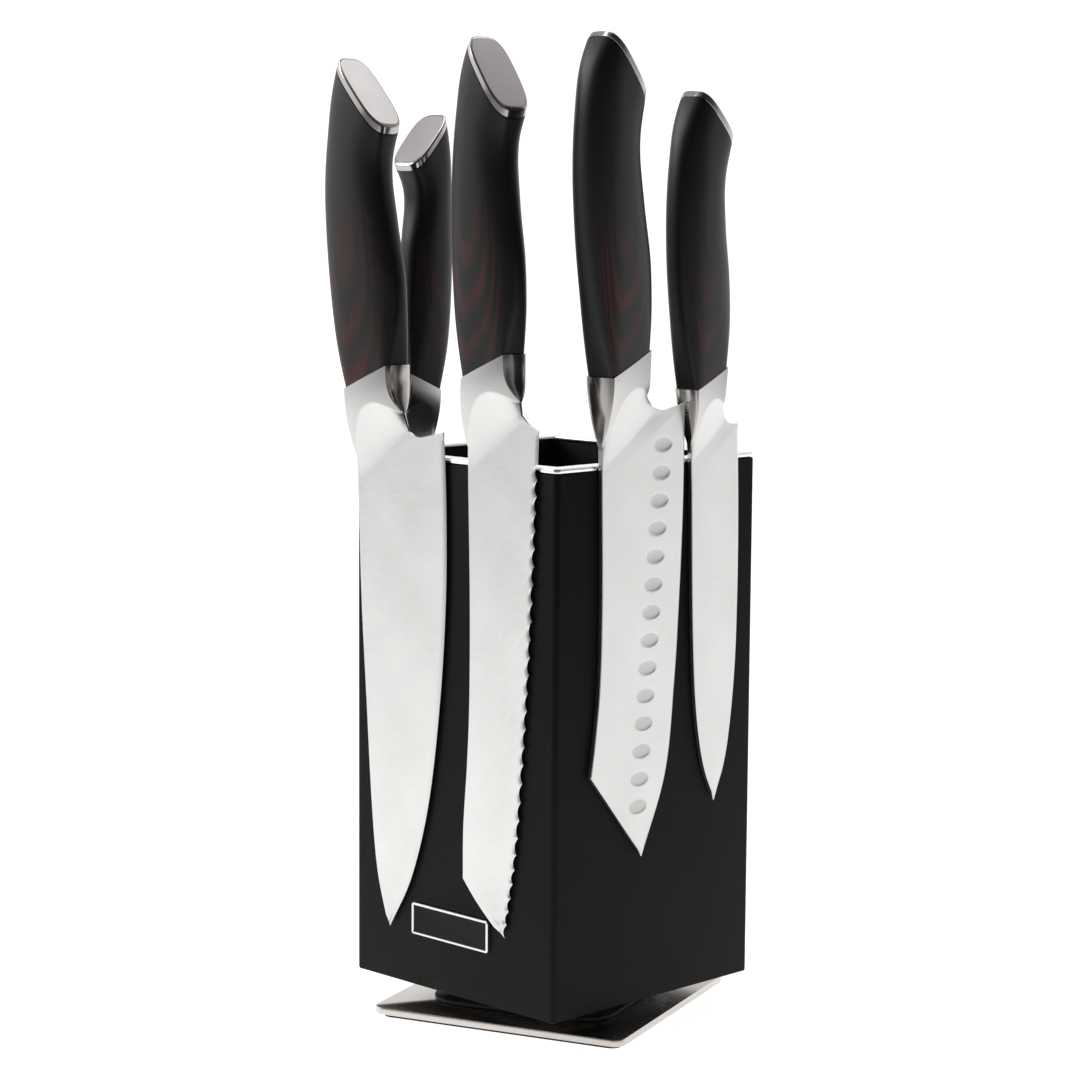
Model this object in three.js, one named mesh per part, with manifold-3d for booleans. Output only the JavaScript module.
// Magnetic knife block on a swivel base, with five knives held on its outer faces.
// Millimetres, +Z up. The origin is on the swivel axis, at the underside of the non-slip pad.
import * as THREE from "three";
import { mergeVertices } from "three/addons/utils/BufferGeometryUtils.js";
import Module from "manifold-3d";

const wasm = await Module();
wasm.setup();

// ---- driving dimensions ----
const GAP = 0.3; // clearance between pieces that touch

const PAD = { size: 104, corner: 4, bottom: 0, thick: 1.2 };
const BASE = { size: 110, corner: 5, thick: 3, turn: 20 }; // turn in degrees about the swivel axis
const SWIVEL = { size: 79, corner: 14, thick: 1.5, screwAt: 31 };
const BALLS = { count: 8, radius: 2.2, circle: 28 };
const CAGE = { inner: 24, outer: 32, thick: 1.2 };
const PIVOT = { shaft: 4, head: 7, headThick: 1.5 };
const SCREW = { shaft: 1.5, head: 2.8, headThick: 1.2 };

const BLOCK = { size: 114, height: 215, corner: 2.2, bottomRound: 2 };
const WALL = { total: 9, shell: 2.5, liner: 2 };
const PANEL_THICK = 6;
const RIM_THICK = 1.6;
const MAGNET = { wide: 16, thick: 3.6, tall: 150, from: 45, offset: 26 };
const BADGE = { wide: 44, tall: 13, middle: 28, plate: 0.7, relief: 0.6, border: 1.4 };

const BLADE_THICK = 2.4;
const SEAM_SLOPE = 0.45; // rise of the bolster seam from spine to edge
const CAP_START = 0.96; // share of the grip's height where the end cap begins

// ---- heights that follow from them ----
const BASE_BOTTOM = PAD.thick + GAP;
const BASE_TOP = BASE_BOTTOM + BASE.thick;
const LOWER_BOTTOM = BASE_TOP + GAP;
const LOWER_TOP = LOWER_BOTTOM + SWIVEL.thick;
const BALL_MIDDLE = LOWER_TOP + GAP + BALLS.radius;
const UPPER_BOTTOM = BALL_MIDDLE + BALLS.radius + GAP;
const UPPER_TOP = UPPER_BOTTOM + SWIVEL.thick;
const BLOCK_BOTTOM = UPPER_TOP + GAP;
const BLOCK_TOP = BLOCK_BOTTOM + BLOCK.height;
const PANEL_TOP = BLOCK_BOTTOM + PANEL_THICK;
const WALL_TOP = BLOCK_TOP - RIM_THICK - GAP;
const SHELL_INNER = BLOCK.size - 2 * WALL.shell;
const LINER_OUTER = BLOCK.size - 2 * (WALL.total - WALL.liner);
const WELL = BLOCK.size - 2 * WALL.total;
const KNIFE_PLANE = BLOCK.size / 2 + GAP + BLADE_THICK / 2; // from the axis to a blade's middle plane

// ---- materials ----
const material = (color, metalness, roughness) =>
  new THREE.MeshStandardMaterial({ color, metalness, roughness });
const LOOK = {
  steel: material("#c9c8c5", 1, 0.28),
  brushed: material("#b9b8b5", 1, 0.38),
  blackPlate: material("#1c1c1c", 0.6, 0.5),
  blackShell: material("#1b1b1a", 0, 0.45),
  liner: material("#0c0c0c", 0, 0.7),
  rubber: material("#141414", 0, 0.9),
  handle: material("#1a1614", 0, 0.35),
  magnet: material("#55565a", 0.8, 0.5),
  cage: material("#c8a24a", 0.9, 0.4),
};

// ---- helpers ----
const rad = THREE.MathUtils.degToRad;

/** A closed geometry as a solid that can be cut and joined. */
function solid(geometry) {
  const bare = geometry.index ? geometry.toNonIndexed() : geometry.clone();
  bare.deleteAttribute("normal");
  bare.deleteAttribute("uv");
  const merged = mergeVertices(bare, 1e-4);
  return new wasm.Manifold(
    new wasm.Mesh({
      numProp: 3,
      vertProperties: merged.attributes.position.array,
      triVerts: new Uint32Array(merged.index.array),
    }),
  );
}

/** A solid back as a geometry. */
function geometryOf(body) {
  const mesh = body.getMesh();
  const geometry = new THREE.BufferGeometry();
  geometry.setAttribute("position", new THREE.BufferAttribute(mesh.vertProperties, 3));
  geometry.setIndex(new THREE.BufferAttribute(mesh.triVerts, 1));
  geometry.computeVertexNormals();
  return geometry;
}

/** A named mesh, from a solid or a geometry. */
function piece(name, body, look) {
  const geometry = body.isBufferGeometry ? body : geometryOf(body);
  const mesh = new THREE.Mesh(geometry, look);
  mesh.name = name;
  return mesh;
}

/** The outline of a square with rounded corners, centred on the axis. */
function roundedRect(wide, tall, corner) {
  const x = wide / 2;
  const y = tall / 2;
  const shape = new THREE.Shape();
  shape.moveTo(-x + corner, -y);
  shape.lineTo(x - corner, -y);
  shape.absarc(x - corner, -y + corner, corner, -Math.PI / 2, 0);
  shape.absarc(x - corner, y - corner, corner, 0, Math.PI / 2);
  shape.absarc(-x + corner, y - corner, corner, Math.PI / 2, Math.PI);
  shape.absarc(-x + corner, -y + corner, corner, Math.PI, 1.5 * Math.PI);
  return shape;
}

/** A straight extrusion of a flat outline, standing on height z. */
function slab(shape, z, thick, curveSegments = 4) {
  const options = { depth: thick, bevelEnabled: false, curveSegments };
  return new THREE.ExtrudeGeometry(shape, options).translate(0, 0, z);
}

/** Round holes cut in an outline. */
function drill(shape, holes) {
  for (const [x, y, radius] of holes) {
    const hole = new THREE.Path();
    hole.absarc(x, y, radius, 0, 2 * Math.PI);
    shape.holes.push(hole);
  }
  return shape;
}

/** A turned piece: its half outline is a list of [radius, height]. */
function turned(points, sides = 20) {
  const profile = points.map(([r, z]) => new THREE.Vector2(r, z));
  return new THREE.LatheGeometry(profile, sides).rotateX(Math.PI / 2);
}

/** The four corners of a square whose sides are twice `at`. */
const corners = (at) => [
  [at, at],
  [-at, at],
  [-at, -at],
  [at, -at],
];

/** The four angles of the block's faces, in order from the front. */
const FACES = { front: 0, right: 90, back: 180, left: -90 };

// ---- the base, which stays still ----
function nonSlipPad() {
  return slab(roundedRect(PAD.size, PAD.size, PAD.corner), PAD.bottom, PAD.thick);
}

function basePlate() {
  const holes = corners(SWIVEL.screwAt).map(([x, y]) => [x, y, SCREW.shaft + GAP]);
  const outline = drill(roundedRect(BASE.size, BASE.size, BASE.corner), [
    ...holes,
    [0, 0, PIVOT.head + GAP],
  ]);
  return slab(outline, BASE_BOTTOM, BASE.thick, 6);
}

/** One of the two pressed plates that the balls run between. */
function swivelPlate(z) {
  const holes = corners(SWIVEL.screwAt).map(([x, y]) => [x, y, SCREW.shaft + GAP]);
  const outline = drill(roundedRect(SWIVEL.size, SWIVEL.size, SWIVEL.corner), [
    ...holes,
    [0, 0, PIVOT.shaft + GAP],
  ]);
  return slab(outline, z, SWIVEL.thick, 6);
}

/** A rivet with a head under the lower plate and one over the upper plate. */
function pivotRivet() {
  const low = LOWER_BOTTOM - GAP - PIVOT.headThick;
  const high = UPPER_TOP + GAP + PIVOT.headThick;
  return turned([
    [0, low],
    [PIVOT.head, low],
    [PIVOT.head, low + PIVOT.headThick],
    [PIVOT.shaft, low + PIVOT.headThick],
    [PIVOT.shaft, high - PIVOT.headThick],
    [PIVOT.head, high - PIVOT.headThick],
    [PIVOT.head, high],
    [0, high],
  ]);
}

/** A pan-head screw; up is +1 when its shaft points up, -1 when it points down. */
function screw(up, seat, length) {
  const head = [
    [0, -SCREW.headThick],
    [SCREW.head * 0.7, -SCREW.headThick],
    [SCREW.head, -SCREW.headThick * 0.4],
    [SCREW.head, 0],
    [SCREW.shaft, 0],
    [SCREW.shaft, length - 0.8],
    [SCREW.shaft * 0.5, length],
    [0, length],
  ];
  const geometry = turned(head, 12);
  if (up < 0) geometry.rotateX(Math.PI);
  return geometry.translate(0, 0, seat);
}

/** The flat ring that keeps the balls apart. */
function ballCage() {
  const outline = new THREE.Shape();
  outline.absarc(0, 0, CAGE.outer, 0, 2 * Math.PI);
  const pockets = [[0, 0, CAGE.inner]];
  for (let i = 0; i < BALLS.count; i += 1) {
    const angle = (2 * Math.PI * i) / BALLS.count;
    const x = BALLS.circle * Math.cos(angle);
    const y = BALLS.circle * Math.sin(angle);
    pockets.push([x, y, BALLS.radius + GAP]);
  }
  return slab(drill(outline, pockets), BALL_MIDDLE - CAGE.thick / 2, CAGE.thick, 6);
}

// ---- the block, which turns on the base ----
function bottomPanel() {
  const size = SHELL_INNER - 2 * GAP;
  const panel = solid(slab(roundedRect(size, size, 1), BLOCK_BOTTOM, PANEL_THICK));
  const recessDepth = PIVOT.headThick + 2 * GAP;
  const recess = turned([
    [0, BLOCK_BOTTOM - 1],
    [PIVOT.head + 1, BLOCK_BOTTOM - 1],
    [PIVOT.head + 1, BLOCK_BOTTOM + recessDepth],
    [0, BLOCK_BOTTOM + recessDepth],
  ]);
  let cut = panel.subtract(solid(recess));
  for (const [x, y] of corners(SWIVEL.screwAt)) {
    const bore = new THREE.CylinderGeometry(SCREW.shaft + GAP, SCREW.shaft + GAP, 10, 12);
    bore.rotateX(Math.PI / 2).translate(x, y, BLOCK_BOTTOM);
    cut = cut.subtract(solid(bore));
  }
  return cut;
}

/** The outer casing: a square tube with rounded corners and a rounded bottom edge. */
function outerShell() {
  const { size, corner, bottomRound } = BLOCK;
  const outside = new THREE.ExtrudeGeometry(roundedRect(size, size, corner), {
    depth: BLOCK.height,
    bevelThickness: bottomRound,
    bevelSize: bottomRound,
    bevelOffset: -bottomRound,
    bevelSegments: 3,
    curveSegments: 4,
  }).translate(0, 0, BLOCK_BOTTOM + bottomRound);
  const tall = 2 * BLOCK.height;
  const inside = slab(roundedRect(SHELL_INNER, SHELL_INNER, 1), BLOCK_BOTTOM - 10, tall);
  const above = slab(roundedRect(2 * size, 2 * size, 1), WALL_TOP, tall);
  return solid(outside).subtract(solid(inside)).subtract(solid(above));
}

/** A square tube with thin walls, such as the liner of the well, or the rim. */
function squareTube(outer, inner, outerCorner, innerCorner, z, tall) {
  const outline = roundedRect(outer, outer, outerCorner);
  outline.holes.push(roundedRect(inner, inner, innerCorner));
  return slab(outline, z, tall);
}

function magnetBar() {
  const middle = (SHELL_INNER + LINER_OUTER) / 4;
  const outline = roundedRect(MAGNET.wide, MAGNET.thick, 0.5);
  return slab(outline, BLOCK_BOTTOM + MAGNET.from, MAGNET.tall, 2).translate(0, -middle, 0);
}

/** The nameplate, left blank inside a raised border. */
function badge() {
  const { wide, tall, plate, relief, border } = BADGE;
  const flat = solid(slab(roundedRect(wide, tall, 1), 0, plate));
  const frame = roundedRect(wide, tall, 1);
  frame.holes.push(roundedRect(wide - 2 * border, tall - 2 * border, 0.5));
  const ring = solid(slab(frame, plate - 0.2, relief + 0.2));
  const whole = geometryOf(flat.add(ring));
  const y = -BLOCK.size / 2 - GAP;
  return whole.rotateX(Math.PI / 2).translate(0, y, BLOCK_BOTTOM + BADGE.middle);
}

// ---- the knives ----
// A knife is drawn seen from outside its face: x runs from spine to edge and y up.
// Its origin is the middle of the seam between bolster and handle.
const GRIP_HALF = {
  spine: [7.9, 9.2, 10.2, 10.3, 10, 9.6],
  edge: [6.6, 7.2, 8, 8.8, 9.4, 9.5],
}; // half the thickness at the spine and edge sides, from the seam up to the butt
const CROWN = 0.06; // share that a broad face falls from its middle to its sides

const KNIVES = {
  chef: {
    face: "front",
    at: [-42.3, 245.2],
    grip: {
      girth: 1.05,
      swell: -0.12,
      butt: 107.1,
      slope: -1.085,
      spine: [-12, -21, -26.1, -27.8, -24.3, -17.8],
      edge: [11.6, 13.8, 13.4, 8.6, 4.1, 7.4],
    },
    notch: 17,
    spine: [[-12, -5.4], [-11.4, -31], [-8.9, -91], [-5.9, -132], [-2.8, -173], [0.8, -201]],
    tip: [7.4, -223],
    edge: [[14.6, -211], [24.7, -189], [30.4, -168], [36.8, -126], [39.9, -86], [40, -50]],
    heel: [[38.6, -19.8], [31, -21.5], [24, -22.6], [18.6, -20.5], [15.8, -14], [12.4, -5], [11.6, 5.2]],
  },
  bread: {
    face: "front",
    at: [24.4, 252.8],
    grip: {
      girth: 1,
      swell: 0.04,
      butt: 113.4,
      slope: -1.485,
      spine: [-11.4, -17.8, -20.2, -19.2, -15.1, -7.9],
      edge: [11, 14, 13.7, 10.2, 7.8, 11],
    },
    notch: 14,
    spine: [[-11.4, -5.2], [-13.4, -31], [-12.2, -92], [-12.2, -131], [-13.4, -157], [-15.4, -182]],
    tip: [7.5, -223.3],
    corner: [-15.6, -203],
    edge: [[9.2, -214], [14, -187], [17, -155], [19.9, -120], [21.8, -88.5], [24.4, -36]],
    heel: [[24.4, -23.6], [19, -21], [15.4, -18], [14.2, -12], [11.6, -4], [11, 4.9]],
    teeth: 29,
  },
  santoku: {
    face: "right",
    at: [-24.9, 254],
    grip: {
      girth: 1,
      swell: 0,
      butt: 109.9,
      slope: -1.289,
      spine: [-11, -17.1, -21.5, -22.9, -20, -12.1],
      edge: [11.4, 14.1, 13.6, 9.4, 5.5, 6.8],
    },
    notch: 17,
    spine: [[-11, -5], [-10.5, -31], [-9.3, -90], [-10, -122], [-12.5, -145]],
    tip: [15.3, -195],
    corner: [-14.8, -159.4],
    edge: [[22.4, -185.7], [26.8, -170], [30.6, -150], [33.3, -127], [35.6, -95], [37.3, -55]],
    heel: [[37.4, -16.6], [31, -18], [24.5, -19], [19, -17.6], [15.2, -13], [11.7, -4], [11.4, 5.1]],
  },
  utility: {
    face: "right",
    at: [22.4, 246.3],
    grip: {
      girth: 0.84,
      swell: 0.06,
      butt: 104.6,
      slope: -1.043,
      spine: [-9.2, -14.6, -17.9, -18.2, -15, -7.6],
      edge: [9.8, 13, 12.7, 9.7, 8, 10.5],
    },
    notch: 12,
    spine: [[-9.2, -4.2], [-6.9, -28], [-4.9, -88], [-3.1, -120], [-0.4, -141], [3.8, -157.5]],
    tip: [10.5, -171],
    edge: [[16.6, -159.6], [20.4, -139.5], [22.3, -115], [23, -90], [23, -60]],
    heel: [[21.8, -18.9], [16.5, -18.4], [13.4, -15.6], [12, -11], [9.6, -4], [9.8, 4.4]],
  },
  paring: {
    face: "left",
    at: [22.4, 241],
    grip: {
      girth: 0.8,
      swell: 0.19,
      butt: 97.8,
      slope: -1.144,
      spine: [-8.3, -14, -15.9, -15.6, -14.1, -10.2],
      edge: [7.3, 7.3, 7.1, 6.3, 3.6, 8.2],
    },
    notch: 9,
    spine: [[-8.3, -3.8], [-8, -22], [-7.2, -60], [-5.4, -86], [-2.6, -100]],
    tip: [3.2, -110],
    edge: [[8.6, -99], [12, -80], [13.2, -55]],
    heel: [[12.8, -19], [11.2, -18.4], [9.6, -17], [8.2, -13], [7.6, -8], [7.4, 3.3]],
  },
};

const toPoints = (list) => list.map(([x, y]) => new THREE.Vector2(x, y));

/** A flat outline stood upright, its thickness centred on the knife's middle plane. */
function upright(shape, thick, curveSegments = 6) {
  const options = { depth: thick, bevelEnabled: false, curveSegments };
  const geometry = new THREE.ExtrudeGeometry(shape, options);
  return geometry.translate(0, 0, -thick / 2).rotateX(Math.PI / 2);
}

/** Everything on one side of the sloping line y = rise + slope * x; side is +1 above, -1 below. */
function halfSpace(rise, slope, side) {
  const far = 400;
  const shape = new THREE.Shape(
    toPoints([
      [-far, rise - slope * far],
      [far, rise + slope * far],
      [far, rise + slope * far + side * 3 * far],
      [-far, rise - slope * far + side * 3 * far],
    ]),
  );
  return solid(upright(shape, 100));
}

/** The bread knife's scallops: points between the heel and the front, along the edge line. */
function scallops(line, teeth) {
  const curve = new THREE.SplineCurve(toPoints(line));
  const points = [];
  for (let i = 0; i < teeth; i += 1) {
    for (const [part, depth] of [[0, 0], [0.25, 1.1], [0.5, 1.5], [0.75, 1.1]]) {
      const p = curve.getPointAt((i + part) / teeth);
      points.push(new THREE.Vector2(p.x - depth, p.y));
    }
  }
  return points;
}

/** The outline of a blade with its bolster, from the seam round the tip and back. */
function bladeShape({ spine, corner, tip, edge, heel, teeth }) {
  const back = new THREE.SplineCurve(toPoints(spine)).getPoints(10);
  const point = toPoints(corner ? [corner, tip] : [tip]);
  const cutting = teeth
    ? scallops([tip, ...edge], teeth)
    : new THREE.SplineCurve(toPoints([tip, ...edge, heel[0]])).getPoints(14).slice(1, -1);
  return new THREE.Shape([...back, ...point, ...cutting, ...toPoints(heel)]);
}

/** A prism across the blade, thick at the spine and thin at the edge. */
function bladeTaper(spineX, edgeX) {
  const h = BLADE_THICK / 2;
  const shape = new THREE.Shape(
    toPoints([
      [spineX - 20, -h],
      [spineX + 8, -h],
      [edgeX + 2, -0.25],
      [edgeX + 2, 0.25],
      [spineX + 8, h],
      [spineX - 20, h],
    ]),
  );
  return solid(slab(shape, -300, 600));
}

/** A half outline, as [half thickness, height], made whole by its mirror image. */
function mirrored(side, wide, tall) {
  const half = side.map(([w, v]) => new THREE.Vector2(w * wide, v * tall));
  const other = half.map((p) => new THREE.Vector2(-p.x, p.y)).reverse();
  return new THREE.Shape([...half, ...other]);
}

/** The bolster's form: thick at the seam, thin at the blade, and no wider than the heel's notch. */
function bolsterForm(scale, notch) {
  const side = [[7.6, 14], [7.4, -2], [6.8, -8], [5.2, -14], [3, -18], [1.5, -20.5], [1.1, -22.3]];
  const form = upright(mirrored(side, scale, scale), 200).rotateZ(Math.PI / 2);
  form.rotateY(-Math.atan(SEAM_SLOPE));
  const behind = new THREE.BoxGeometry(100, 60, 200).translate(notch - 50, 0, 0);
  return solid(form).intersect(solid(behind));
}

/** The hidden tang, a flat bar that leans back into the handle. */
function tang(scale, clearance) {
  const w = 4 * scale + clearance;
  const top = 68 + clearance;
  const shape = new THREE.Shape(
    toPoints([[-w, -6], [w, -6], [w - 6 * scale, top], [-w - 4 * scale, top]]),
  );
  return solid(upright(shape, 3 + 2 * clearance));
}

function blade(knife) {
  const { grip, notch, spine, edge } = knife;
  const outline = bladeShape(knife);
  const widest = Math.max(...edge.map(([x]) => x));
  const flat = solid(upright(outline, BLADE_THICK)).intersect(bladeTaper(spine[0][0], widest));
  const thick = solid(upright(outline, 30)).intersect(bolsterForm(grip.girth, notch));
  const seam = halfSpace(0, SEAM_SLOPE, -1);
  return flat.add(thick).intersect(seam).add(tang(grip.girth, 0));
}

/** The height of a smooth curve through evenly spaced stations, at t from 0 to 1. */
function smoothly(stations, t) {
  const last = stations.length - 1;
  const before = 2 * stations[0] - stations[1];
  const after = 2 * stations[last] - stations[last - 1];
  const points = toPoints([before, ...stations, after].map((y, x) => [x, y]));
  return new THREE.SplineCurve(points).getPoint((1 + t * last) / (last + 2)).y;
}

/** A cosine or sine raised to a power with its sign kept, which squares a circle. */
function squared(value, power) {
  const clean = Math.round(value * 1e6) / 1e6;
  return Math.sign(clean) * Math.abs(clean) ** power;
}

/**
 * The grip between two shares of its height. Every section is a superellipse, nearly square at
 * the seam and rounder in the hand, in a plane that tilts from the seam's slope to the butt's.
 */
function gripPart(grip, from, to, rows) {
  const { girth, swell, butt, slope, spine, edge } = grip;
  const geometry = new THREE.CylinderGeometry(1, 1, 1, 24, rows);
  const points = geometry.getAttribute("position");
  for (let i = 0; i < points.count; i += 1) {
    const t = THREE.MathUtils.lerp(from, to, points.getY(i) + 0.5);
    const power = 2 / (2.5 + 6.5 * Math.exp(-t / 0.1) + 1.1 * THREE.MathUtils.smoothstep(t, 0.7, 1));
    const across = squared(points.getX(i), power);
    const out = squared(points.getZ(i), power);
    const share = (across + 1) / 2;
    const x = THREE.MathUtils.lerp(smoothly(spine, t), smoothly(edge, t), share);
    const spineHalf = smoothly(GRIP_HALF.spine, t);
    const half = THREE.MathUtils.lerp(spineHalf, smoothly(GRIP_HALF.edge, t), share);
    const y = -half * (girth + swell * t) * out * (1 - CROWN * across ** 2);
    const tilt = THREE.MathUtils.lerp(SEAM_SLOPE, slope, Math.min(1, t / CAP_START));
    points.setXYZ(i, x, y, t * butt + tilt * x);
  }
  return solid(geometry);
}

/** The grip's two pieces, which meet in a plane parallel to the sloping butt. */
function gripPieces(grip) {
  const handle = gripPart(grip, GAP / grip.butt, CAP_START - (1.5 * GAP) / grip.butt, 16);
  const cap = gripPart(grip, CAP_START, 1, 2);
  return { handle: handle.subtract(tang(grip.girth, GAP)), cap };
}

function knifeGroup(name, knife) {
  const group = new THREE.Group();
  const { handle, cap } = gripPieces(knife.grip);
  group.add(piece(`${name}_blade`, blade(knife), LOOK.steel));
  group.add(piece(`${name}_handle`, handle, LOOK.handle));
  group.add(piece(`${name}_end_cap`, cap, LOOK.brushed));
  const [along, up] = knife.at;
  group.position.set(along, -KNIFE_PLANE, BLOCK_BOTTOM + up);
  return group;
}

// ---- assembly ----
const group = new THREE.Group();

const base = new THREE.Group();
base.rotation.z = rad(BASE.turn);
base.add(piece("non_slip_pad", nonSlipPad(), LOOK.rubber));
base.add(piece("base_plate", basePlate(), LOOK.brushed));
base.add(piece("swivel_lower_plate", swivelPlate(LOWER_BOTTOM), LOOK.blackPlate));
base.add(piece("pivot_rivet", pivotRivet(), LOOK.brushed));
corners(SWIVEL.screwAt).forEach(([x, y], i) => {
  const length = LOWER_TOP + GAP - BASE_BOTTOM - 0.5;
  const part = piece(`base_screw_${i + 1}`, screw(-1, LOWER_TOP + GAP, length), LOOK.blackPlate);
  part.position.set(x, y, 0);
  base.add(part);
});
base.add(piece("ball_cage", ballCage(), LOOK.cage));
for (let i = 0; i < BALLS.count; i += 1) {
  const angle = (2 * Math.PI * i) / BALLS.count;
  const ball = piece(`ball_${i + 1}`, new THREE.SphereGeometry(BALLS.radius, 10, 8), LOOK.steel);
  ball.position.set(BALLS.circle * Math.cos(angle), BALLS.circle * Math.sin(angle), BALL_MIDDLE);
  base.add(ball);
}
group.add(base);

const block = new THREE.Group();
block.add(piece("swivel_upper_plate", swivelPlate(UPPER_BOTTOM), LOOK.blackPlate));
corners(SWIVEL.screwAt).forEach(([x, y], i) => {
  const length = SWIVEL.thick + 2 * GAP + 4;
  const part = piece(`block_screw_${i + 1}`, screw(1, UPPER_BOTTOM - GAP, length), LOOK.blackPlate);
  part.position.set(x, y, 0);
  block.add(part);
});
block.add(piece("bottom_panel", bottomPanel(), LOOK.blackShell));
block.add(piece("outer_shell", outerShell(), LOOK.blackShell));
const linerBottom = PANEL_TOP + GAP;
const liner = squareTube(LINER_OUTER, WELL, 3, 1.5, linerBottom, WALL_TOP - linerBottom);
block.add(piece("inner_liner", liner, LOOK.liner));
const rim = squareTube(BLOCK.size, WELL, BLOCK.corner, 1.5, BLOCK_TOP - RIM_THICK, RIM_THICK);
block.add(piece("top_rim", rim, LOOK.brushed));
block.add(piece("badge", badge(), LOOK.blackPlate));
for (const [face, angle] of Object.entries(FACES)) {
  const side = new THREE.Group();
  side.rotation.z = rad(angle);
  for (const [half, sign] of [["a", -1], ["b", 1]]) {
    const bar = piece(`magnet_${face}_${half}`, magnetBar(), LOOK.magnet);
    bar.position.x = sign * MAGNET.offset;
    side.add(bar);
  }
  for (const [name, knife] of Object.entries(KNIVES)) {
    if (knife.face === face) side.add(knifeGroup(name, knife));
  }
  block.add(side);
}
group.add(block);

export default group;
